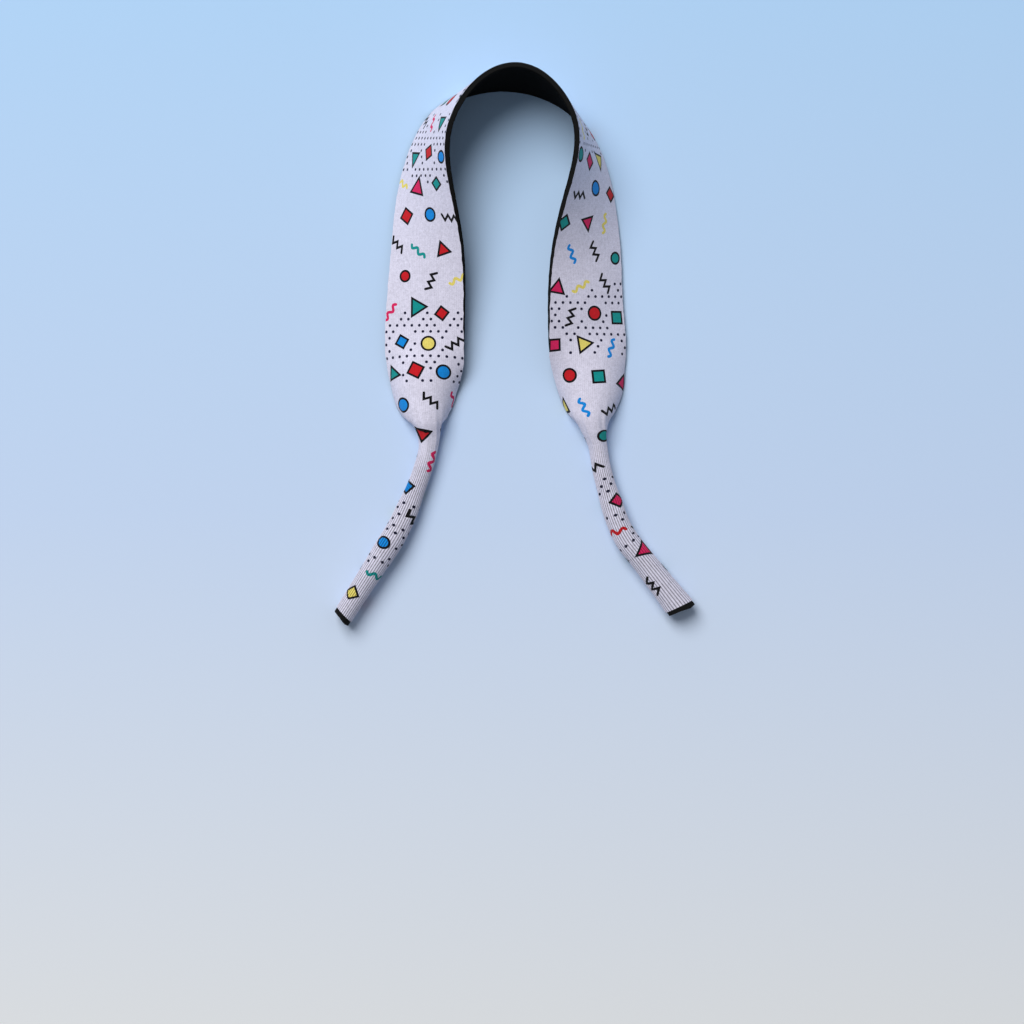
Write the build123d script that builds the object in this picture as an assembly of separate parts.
from build123d import *
from collections import namedtuple
import math
import os

# Eyeglass retainer strap: a 28 mm band of bonded printed jersey, foam and
# lining, narrowed at each end into a rolled sleeve that grips a temple tip.
# Millimetres. +X across, +Y from the sleeves towards the back of the loop,
# +Z up. The strap stands on Z = 0 in its relaxed lay.
# Along the strap each side has a straight socket, a rolled neck and an arm
# that opens out flat; the crown joins the two arms round the back.

os.makedirs("parts", exist_ok=True)

# ---- cloth -----------------------------------------------------------------
PRINT_T = 0.30          # printed jersey, outermost
FOAM_T = 1.10           # foam core
LINING_T = 0.30         # lining, innermost
PLY_GAP = 0.05          # modelling clearance between plies
HALF_T = PRINT_T + PLY_GAP + FOAM_T / 2

# Inner and outer face of each ply, measured outward from mid thickness.
PLIES = {
    "print": (HALF_T - PRINT_T, HALF_T),
    "foam": (-FOAM_T / 2, FOAM_T / 2),
    "lining": (-HALF_T, -HALF_T + LINING_T),
}

# ---- sockets ---------------------------------------------------------------
BORE_R = 2.40           # free radius inside a socket
SOCKET_MID_R = BORE_R + HALF_T
SOCKET_LEN = 30.0       # straight length that takes the temple tip
SLIT_W = 0.25           # butt seam, width of the joint between the edges
SLIT_CUT_H = 2.4        # height of the cutter, more than the cloth thickness
SLIT_OVERRUN = 1.0      # cutter length beyond each end of the socket

# ---- thread ----------------------------------------------------------------
THREAD_R = 0.17
THREAD_LIFT = 0.02      # thread clear of the cloth
STITCH_PITCH = 2.4      # one full zigzag
STITCH_HALF = 1.0       # half width of the zigzag
STITCH_TRIM = 2 * THREAD_R  # taken off each end so stitches stay apart
SOCKET_SEAM_INSET = 1.0     # seam ends, in from the ends of the socket
NECK_SEAM_INSET = 1.2       # seam ends, in from the ends of the neck

TACK_W = 3.2            # bar tack, across the seam
TACK_LEN = 1.7          # along the seam
TACK_T = 0.24
TACK_ROUND = TACK_T * 0.42
TACK_LIFT = 0.13        # clear of the cloth
TACK_INSET = 0.7        # in from the narrow end of the arm

# ---- gaps between pieces ---------------------------------------------------
SHOULDER_GAP = 1.6      # between arm and crown
THROAT_GAP = 3.0        # between neck and arm
TIP_GAP = 3.4           # between socket and neck

# ---- loft sections ---------------------------------------------------------
CROWN_STEP = 6.5        # section spacing
NECK_STEP = 4.2
CROWN_POINTS = 6        # spline points across half a section
ROLLED_POINTS = 8       # the same, for the necks and arms
# Arm section spacing, and the distance from the throat it is used up to.
ARM_STEPS = ((2.2, 26.4), (4.0, 46.4), (6.6, math.inf))
REACH_TOLERANCE = 0.01
LAST_STEP_RATIO = 1.4   # a step is taken only if more than this many remain

# Stations along the strap, left sleeve mouth to right sleeve mouth:
# arc length, centre x y z, direction across the band x y z,
# flat width of the sheet, angle it is rolled through (rad).
STATIONS = [
    (0.000, -58.379, -92.251, 7.897, 0.8417, -0.5399, 0.0000, 20.485, 6.2074),
    (5.000, -55.680, -88.042, 7.897, 0.8417, -0.5399, 0.0000, 20.485, 6.2074),
    (10.000, -52.980, -83.834, 7.897, 0.8417, -0.5399, 0.0000, 20.485, 6.2074),
    (15.000, -50.281, -79.625, 7.897, 0.8417, -0.5399, 0.0000, 20.485, 6.2074),
    (20.000, -47.581, -75.416, 7.897, 0.8417, -0.5399, 0.0000, 20.485, 6.2074),
    (25.000, -44.882, -71.208, 7.897, 0.8417, -0.5399, 0.0000, 20.485, 6.2074),
    (30.000, -42.182, -66.999, 7.887, 0.8417, -0.5399, 0.0000, 20.485, 6.2074),
    (34.500, -39.823, -63.166, 7.445, 0.8681, -0.4963, -0.0020, 18.953, 6.2014),
    (39.000, -37.746, -59.210, 7.014, 0.8906, -0.4547, -0.0021, 17.649, 6.1954),
    (43.500, -35.882, -55.150, 6.627, 0.9104, -0.4137, -0.0011, 16.558, 6.1897),
    (48.000, -34.165, -51.007, 6.352, 0.9281, -0.3723, 0.0005, 15.673, 6.1845),
    (52.500, -32.525, -46.800, 6.142, 0.9440, -0.3300, 0.0020, 14.992, 6.1801),
    (57.000, -30.967, -42.548, 6.016, 0.9528, -0.3036, 0.0027, 14.582, 6.1773),
    (61.500, -29.615, -38.272, 6.013, 0.9481, -0.3179, 0.0019, 14.569, 6.1772),
    (66.000, -28.608, -33.991, 6.132, 0.9863, -0.1652, 0.0000, 14.145, 5.9900),
    (70.500, -28.404, -29.714, 6.817, 0.9987, -0.0500, 0.0000, 16.888, 5.7001),
    (75.000, -29.225, -25.414, 8.481, 1.0000, -0.0050, 0.0000, 22.002, 4.2372),
    (79.500, -29.849, -21.062, 8.599, 1.0000, -0.0008, 0.0027, 25.119, 3.2819),
    (84.000, -30.071, -16.673, 8.362, 0.9997, 0.0023, 0.0260, 26.876, 2.7395),
    (88.500, -30.192, -12.280, 8.285, 0.9978, 0.0018, 0.0667, 27.819, 2.3355),
    (93.000, -30.253, -7.880, 7.958, 0.9931, -0.0006, 0.1174, 28.225, 1.8787),
    (97.500, -30.249, -3.467, 7.164, 0.9856, -0.0042, 0.1691, 28.325, 1.3115),
    (102.000, -30.176, 0.966, 6.219, 0.9770, -0.0081, 0.2132, 28.337, 0.7444),
    (106.500, -30.044, 5.418, 5.666, 0.9686, -0.0122, 0.2485, 28.346, 0.3983),
    (111.000, -29.875, 9.886, 5.661, 0.9604, -0.0165, 0.2782, 28.355, 0.2664),
    (115.500, -29.687, 14.367, 6.001, 0.9516, -0.0211, 0.3065, 28.363, 0.2451),
    (120.000, -29.502, 18.855, 6.450, 0.9404, -0.0260, 0.3392, 28.371, 0.2538),
    (124.500, -29.340, 23.348, 6.976, 0.9247, -0.0314, 0.3794, 28.378, 0.2552),
    (129.000, -29.221, 27.841, 7.571, 0.9040, -0.0372, 0.4260, 28.385, 0.2476),
    (133.500, -29.165, 32.330, 8.211, 0.8774, -0.0435, 0.4777, 28.391, 0.2335),
    (138.000, -29.192, 36.811, 8.896, 0.8444, -0.0505, 0.5333, 28.396, 0.2158),
    (142.500, -29.292, 41.280, 9.603, 0.8043, -0.0582, 0.5913, 28.401, 0.1952),
    (147.000, -29.405, 45.734, 10.298, 0.7572, -0.0667, 0.6498, 28.405, 0.1702),
    (151.500, -29.468, 50.168, 10.959, 0.7034, -0.0758, 0.7067, 28.408, 0.1409),
    (156.000, -29.416, 54.578, 11.578, 0.6443, -0.0856, 0.7600, 28.411, 0.1088),
    (160.500, -29.185, 58.961, 12.124, 0.5814, -0.0960, 0.8079, 28.414, 0.0722),
    (165.000, -28.710, 63.312, 12.608, 0.5171, -0.1070, 0.8492, 28.416, 0.0365),
    (169.500, -27.929, 67.628, 13.030, 0.4534, -0.1187, 0.8834, 28.417, 0.0209),
    (174.000, -26.773, 71.893, 13.371, 0.3925, -0.1303, 0.9105, 28.417, 0.0247),
    (178.500, -25.149, 76.022, 13.636, 0.3353, -0.1349, 0.9324, 28.418, 0.0415),
    (183.000, -22.953, 79.898, 13.833, 0.2820, -0.1231, 0.9515, 28.417, 0.0582),
    (187.500, -20.098, 83.407, 13.996, 0.2320, -0.0867, 0.9688, 28.416, 0.0726),
    (192.000, -16.640, 86.431, 14.079, 0.1845, -0.0326, 0.9823, 28.415, 0.0822),
    (196.500, -12.702, 88.856, 14.115, 0.1391, 0.0242, 0.9900, 28.413, 0.0795),
    (201.000, -8.415, 90.593, 14.155, 0.0963, 0.0724, 0.9927, 28.410, 0.0626),
    (205.500, -3.924, 91.607, 14.189, 0.0564, 0.1091, 0.9924, 28.407, 0.0425),
    (210.000, 0.628, 91.871, 14.191, 0.0197, 0.1330, 0.9909, 28.403, 0.0382),
    (214.500, 5.094, 91.357, 14.173, -0.0138, 0.1427, 0.9897, 28.399, 0.0483),
    (219.000, 9.331, 90.038, 14.149, -0.0442, 0.1369, 0.9896, 28.394, 0.0667),
    (223.500, 13.229, 87.948, 14.156, -0.0716, 0.1165, 0.9906, 28.389, 0.0815),
    (228.000, 16.721, 85.202, 14.176, -0.0960, 0.0858, 0.9917, 28.384, 0.0759),
    (232.500, 19.747, 81.919, 14.181, -0.1176, 0.0494, 0.9918, 28.380, 0.0587),
    (237.000, 22.245, 78.220, 14.150, -0.1414, 0.0116, 0.9899, 28.376, 0.0434),
    (241.500, 24.153, 74.226, 14.112, -0.1812, -0.0229, 0.9832, 28.374, 0.0253),
    (246.000, 25.469, 70.029, 13.972, -0.2439, -0.0511, 0.9684, 28.373, 0.0212),
    (250.500, 26.286, 65.677, 13.713, -0.3227, -0.0727, 0.9437, 28.374, 0.0392),
    (255.000, 26.709, 61.211, 13.337, -0.4092, -0.0878, 0.9082, 28.378, 0.0719),
    (259.500, 26.841, 56.675, 12.892, -0.4959, -0.0968, 0.8629, 28.385, 0.1098),
    (264.000, 26.786, 52.110, 12.325, -0.5774, -0.1006, 0.8102, 28.396, 0.1475),
    (268.500, 26.644, 47.558, 11.635, -0.6506, -0.1000, 0.7528, 28.410, 0.1834),
    (273.000, 26.470, 43.033, 10.932, -0.7145, -0.0956, 0.6930, 28.427, 0.2172),
    (277.500, 26.284, 38.531, 10.263, -0.7684, -0.0879, 0.6339, 28.444, 0.2473),
    (282.000, 26.106, 34.049, 9.658, -0.8106, -0.0774, 0.5805, 28.459, 0.2733),
    (286.500, 25.957, 29.583, 9.189, -0.8404, -0.0649, 0.5380, 28.470, 0.2958),
    (291.000, 25.858, 25.127, 8.833, -0.8612, -0.0517, 0.5056, 28.475, 0.3166),
    (295.500, 25.828, 20.680, 8.534, -0.8772, -0.0392, 0.4785, 28.471, 0.3382),
    (300.000, 25.888, 16.235, 8.253, -0.8919, -0.0283, 0.4514, 28.457, 0.3640),
    (304.500, 26.051, 11.791, 7.947, -0.9079, -0.0198, 0.4188, 28.430, 0.4022),
    (309.000, 26.297, 7.342, 7.603, -0.9265, -0.0138, 0.3761, 28.387, 0.4860),
    (313.500, 26.595, 2.884, 7.473, -0.9479, -0.0100, 0.3183, 28.328, 0.6925),
    (318.000, 26.916, -1.586, 7.797, -0.9705, -0.0084, 0.2408, 28.249, 1.2102),
    (322.500, 27.229, -6.073, 8.160, -0.9878, -0.0086, 0.1555, 28.148, 1.7913),
    (327.000, 27.493, -10.576, 8.304, -0.9962, -0.0101, 0.0868, 27.979, 2.2105),
    (331.500, 27.574, -15.069, 8.517, -0.9992, -0.0083, 0.0403, 27.367, 2.6490),
    (336.000, 27.324, -19.515, 8.696, -0.9999, 0.0028, 0.0123, 25.802, 3.1820),
    (340.500, 27.256, -23.874, 8.705, -0.9996, 0.0296, -0.0017, 23.075, 3.9516),
    (345.000, 28.298, -28.126, 7.698, -0.9993, -0.0371, -0.0058, 19.101, 5.1105),
    (349.500, 29.565, -32.342, 6.323, -0.9690, -0.2472, -0.0037, 14.777, 5.9700),
    (354.000, 30.232, -36.603, 5.957, -0.9939, -0.1104, 0.0002, 14.396, 6.1759),
    (358.500, 31.001, -40.936, 6.039, -0.9797, -0.2004, 0.0025, 14.656, 6.1778),
    (363.000, 32.102, -45.313, 6.214, -0.9610, -0.2766, 0.0026, 15.233, 6.1817),
    (367.500, 33.388, -49.685, 6.469, -0.9508, -0.3098, 0.0013, 16.055, 6.1868),
    (372.000, 34.720, -54.004, 6.785, -0.9523, -0.3050, -0.0005, 17.055, 6.1924),
    (376.500, 36.159, -58.222, 7.152, -0.9450, -0.3272, -0.0019, 18.174, 6.1979),
    (381.000, 37.933, -62.288, 7.536, -0.8886, -0.4586, -0.0019, 19.366, 6.2031),
    (385.073, 40.023, -65.797, 7.888, -0.7847, -0.6198, 0.0000, 20.485, 6.2074),
    (390.073, 43.122, -69.720, 7.897, -0.7847, -0.6198, 0.0000, 20.485, 6.2074),
    (395.073, 46.221, -73.644, 7.897, -0.7847, -0.6198, 0.0000, 20.485, 6.2074),
    (400.073, 49.321, -77.568, 7.897, -0.7847, -0.6198, 0.0000, 20.485, 6.2074),
    (405.073, 52.420, -81.492, 7.897, -0.7847, -0.6198, 0.0000, 20.485, 6.2074),
    (410.073, 55.519, -85.415, 7.897, -0.7847, -0.6198, 0.0000, 20.485, 6.2074),
    (415.073, 58.618, -89.339, 7.897, -0.7847, -0.6198, 0.0000, 20.485, 6.2074),
]
STRAP_LEN = STATIONS[-1][0]
LEFT_SHOULDER = 168.6
RIGHT_SHOULDER = 249.6

# Side, direction of growing arc length from its mouth inward, then the arc
# lengths of the mouth and of the middles of the throat and shoulder gaps.
SIDES = (
    ("left", 1, 0.0, 63.4, LEFT_SHOULDER),
    ("right", -1, STRAP_LEN, STRAP_LEN - 62.9, RIGHT_SHOULDER),
)

# Local frame of the sheet; radius and roll describe its curl.
Frame = namedtuple("Frame", "centre across normal along radius roll")


# ---- interpolation ---------------------------------------------------------
def interpolate(arc):
    """Station columns after the first, and their slopes, by cubic Hermite."""
    last = len(STATIONS) - 1
    i = 0
    while i < last - 1 and arc > STATIONS[i + 1][0]:
        i += 1
    start, end = STATIONS[i], STATIONS[i + 1]
    before = STATIONS[max(i - 1, 0)]
    after = STATIONS[min(i + 2, last)]
    span = end[0] - start[0]
    u = (arc - start[0]) / span
    values, slopes = [], []
    for k in range(1, len(start)):
        start_slope = (end[k] - before[k]) / (end[0] - before[0])
        end_slope = (after[k] - start[k]) / (after[0] - start[0])
        values.append((2 * u**3 - 3 * u**2 + 1) * start[k]
                      + (u**3 - 2 * u**2 + u) * span * start_slope
                      + (-2 * u**3 + 3 * u**2) * end[k]
                      + (u**3 - u**2) * span * end_slope)
        slopes.append((6 * u**2 - 6 * u) / span * (start[k] - end[k])
                      + (3 * u**2 - 4 * u + 1) * start_slope
                      + (3 * u**2 - 2 * u) * end_slope)
    return values, slopes


def frame_at(arc):
    values, slopes = interpolate(arc)
    along = Vector(*slopes[:3]).normalized()
    across = Vector(*values[3:6]).normalized()
    normal = across.cross(along).normalized()
    width, roll = values[6:]
    return Frame(Vector(*values[:3]), across, normal, along, width / roll, roll)


# ---- sheets ----------------------------------------------------------------
def cross_edge(frame, start, end, height, count):
    """Edge across the sheet, start and end in -1..1, height from mid thickness."""
    radius = frame.radius + height

    def point(place):
        angle = place * frame.roll / 2
        return (frame.centre
                + frame.normal * (radius * math.cos(angle) - frame.radius)
                + frame.across * (radius * math.sin(angle)))

    def tangent(place):
        angle = place * frame.roll / 2
        direction = frame.across * math.cos(angle) - frame.normal * math.sin(angle)
        return direction * (radius * frame.roll / 2) * (end - start)

    fractions = [i / (count - 1) for i in range(count)]
    return Edge.make_spline(
        [point(start + (end - start) * i / (count - 1)) for i in range(count)],
        tangents=[tangent(start), tangent(end)],
        parameters=fractions, scale=False)


def section(arc, inner, outer, count):
    """Closed outline of a ply, each face split at the middle of the band."""
    frame = frame_at(arc)
    outer_plus = cross_edge(frame, 0, 1, outer, count)
    inner_plus = cross_edge(frame, 1, 0, inner, count)
    inner_minus = cross_edge(frame, 0, -1, inner, count)
    outer_minus = cross_edge(frame, -1, 0, outer, count)
    return Wire([
        outer_plus,
        Edge.make_line(outer_plus @ 1, inner_plus @ 0),
        inner_plus,
        inner_minus,
        Edge.make_line(inner_minus @ 1, outer_minus @ 0),
        outer_minus])


def sheet(cuts, ply, count):
    return Solid.make_loft([section(arc, *PLIES[ply], count) for arc in cuts])


def even_cuts(start, end, step):
    """Arc lengths from start to end, spaced evenly at about one step."""
    steps = max(2, round(abs(end - start) / step))
    return [start + (end - start) * i / steps for i in range(steps + 1)]


def arm_cuts(throat, shoulder):
    """Close sections where the band rolls up, wider ones along the band."""
    inward = 1 if shoulder > throat else -1
    arc = throat
    cuts = [arc]
    for step, reach in ARM_STEPS:
        while (abs(arc - throat) < reach - REACH_TOLERANCE
               and inward * (shoulder - arc) > step * LAST_STEP_RATIO):
            arc += inward * step
            cuts.append(arc)
    return sorted(cuts + [shoulder])


# ---- sockets ---------------------------------------------------------------
def socket(mouth, inward, ply):
    """Straight tube with a butt seam underneath."""
    inner, outer = PLIES[ply]
    frame = frame_at(mouth)
    axis = frame.along * inward
    to_mid = Vector(0, 0, SOCKET_MID_R)
    centre = frame.centre - to_mid
    plane = Plane(origin=centre, x_dir=frame.across, z_dir=axis)
    tube = Solid.make_cylinder(SOCKET_MID_R + outer, SOCKET_LEN, plane)
    bore = Solid.make_cylinder(SOCKET_MID_R + inner, SOCKET_LEN, plane)
    slit_plane = Plane(origin=centre - to_mid - axis * SLIT_OVERRUN,
                       x_dir=frame.across, z_dir=axis)
    slit = slit_plane * Box(SLIT_W, SLIT_CUT_H, SOCKET_LEN + 2 * SLIT_OVERRUN,
                            align=(Align.CENTER, Align.CENTER, Align.MIN))
    return tube - bore - slit


# ---- thread ----------------------------------------------------------------
def under(arc, lateral, drop):
    """Point a drop below the cloth at the seam, lateral to one side of it."""
    frame = frame_at(arc)
    return (frame.centre - frame.normal * (2 * frame.radius + HALF_T + drop)
            + frame.across * lateral)


def seam(start, end):
    """Row of zigzag stitches across the butt seam."""
    points = [under(arc, STITCH_HALF if i % 2 else -STITCH_HALF, THREAD_LIFT + THREAD_R)
              for i, arc in enumerate(even_cuts(start, end, STITCH_PITCH / 2))]
    stitches = []
    for first, second in zip(points, points[1:]):
        direction = (second - first).normalized()
        stitches.append(Solid.make_cylinder(
            THREAD_R, (second - first).length - 2 * STITCH_TRIM,
            Plane(origin=first + direction * STITCH_TRIM, z_dir=direction)))
    return Compound(children=stitches)


def bar_tack(arc):
    """Rounded block of thread under the narrow end of the arm."""
    block = Box(TACK_W, TACK_LEN, TACK_T)
    block = fillet(block.edges(), TACK_ROUND)
    return Plane(origin=under(arc, 0, TACK_LIFT + TACK_T / 2),
                 x_dir=frame_at(arc).across, z_dir=Vector(0, 0, 1)) * block


# ---- build -----------------------------------------------------------------
def save(shape, name):
    shape.label = name
    export_step(shape, "parts/" + name + ".step")


crown = even_cuts(LEFT_SHOULDER + SHOULDER_GAP / 2,
                  RIGHT_SHOULDER - SHOULDER_GAP / 2, CROWN_STEP)
for ply in PLIES:
    save(sheet(crown, ply, CROWN_POINTS), "crown_" + ply)

for side, inward, mouth, throat, shoulder in SIDES:
    neck_start = mouth + inward * (SOCKET_LEN + TIP_GAP)
    neck_end = throat - inward * THROAT_GAP / 2
    arm_start = throat + inward * THROAT_GAP / 2
    arm = arm_cuts(arm_start, shoulder - inward * SHOULDER_GAP / 2)
    neck = even_cuts(*sorted((neck_start, neck_end)), NECK_STEP)
    for ply in PLIES:
        save(sheet(arm, ply, ROLLED_POINTS), f"{side}_arm_{ply}")
        save(sheet(neck, ply, ROLLED_POINTS), f"{side}_neck_{ply}")
        save(socket(mouth, inward, ply), f"{side}_socket_{ply}")

    save(seam(mouth + inward * SOCKET_SEAM_INSET,
              mouth + inward * (SOCKET_LEN - SOCKET_SEAM_INSET)),
         f"{side}_socket_seam")
    save(seam(neck_start + inward * NECK_SEAM_INSET,
              neck_end - inward * NECK_SEAM_INSET), f"{side}_neck_seam")
    save(bar_tack(arm_start + inward * (TACK_INSET + TACK_LEN / 2)),
         f"{side}_throat_bartack")
